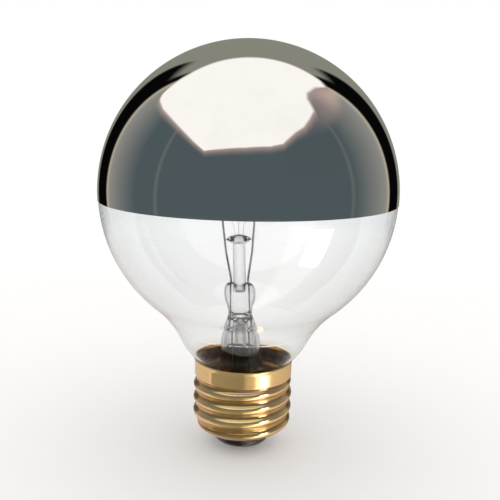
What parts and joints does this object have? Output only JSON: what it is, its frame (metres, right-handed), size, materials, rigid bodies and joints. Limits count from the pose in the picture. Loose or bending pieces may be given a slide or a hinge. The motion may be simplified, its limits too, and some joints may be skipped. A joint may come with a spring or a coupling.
{
  "type": "silver crown bulb",
  "caption": "Globe lamp bulb with a mirrored crown, a clear lower half, a leaded glass stem and a brass medium screw base.",
  "frame": {"origin": "centre of the foot contact's flat underside, the end that meets the lampholder", "axes": "+Z along the bulb's axis from the foot contact to the silvered crown; -Y faces the picture's viewpoint"},
  "size_m": [0.076, 0.076, 0.1061],
  "materials": {
    "clear_glass": "polished clear soda-lime glass",
    "mirror_silver": "bright silvered mirror",
    "brass": "rolled bright brass",
    "black_glass": "black pressed glass, glossy",
    "solder": "dull tin solder",
    "stem_glass": "clear lead glass, pinched and fire polished",
    "nickel_wire": "drawn nickel wire",
    "copper_wire": "oxidised copper wire",
    "molybdenum_wire": "drawn molybdenum wire",
    "tungsten": "coiled tungsten wire",
    "cement": "grey-green basing cement, matt"
  },
  "bodies": {
    "root": {"glass_envelope": "clear_glass", "silver_crown": "mirror_silver", "screw_shell": "brass", "base_insulator": "black_glass", "contact_eyelet": "brass", "contact_solder": "solder", "stem_flare": "stem_glass", "exhaust_tube": "stem_glass", "arbor_rod": "stem_glass", "inner_lead_left": "nickel_wire", "inner_lead_right": "nickel_wire", "seal_wire_left": "copper_wire", "seal_wire_right": "copper_wire", "foot_wire": "copper_wire", "side_wire": "copper_wire", "side_weld": "solder", "support_wire_1": "molybdenum_wire", "support_wire_2": "molybdenum_wire", "support_wire_3": "molybdenum_wire", "filament": "tungsten", "basing_cement": "cement"}
  },
  "joints": []
}
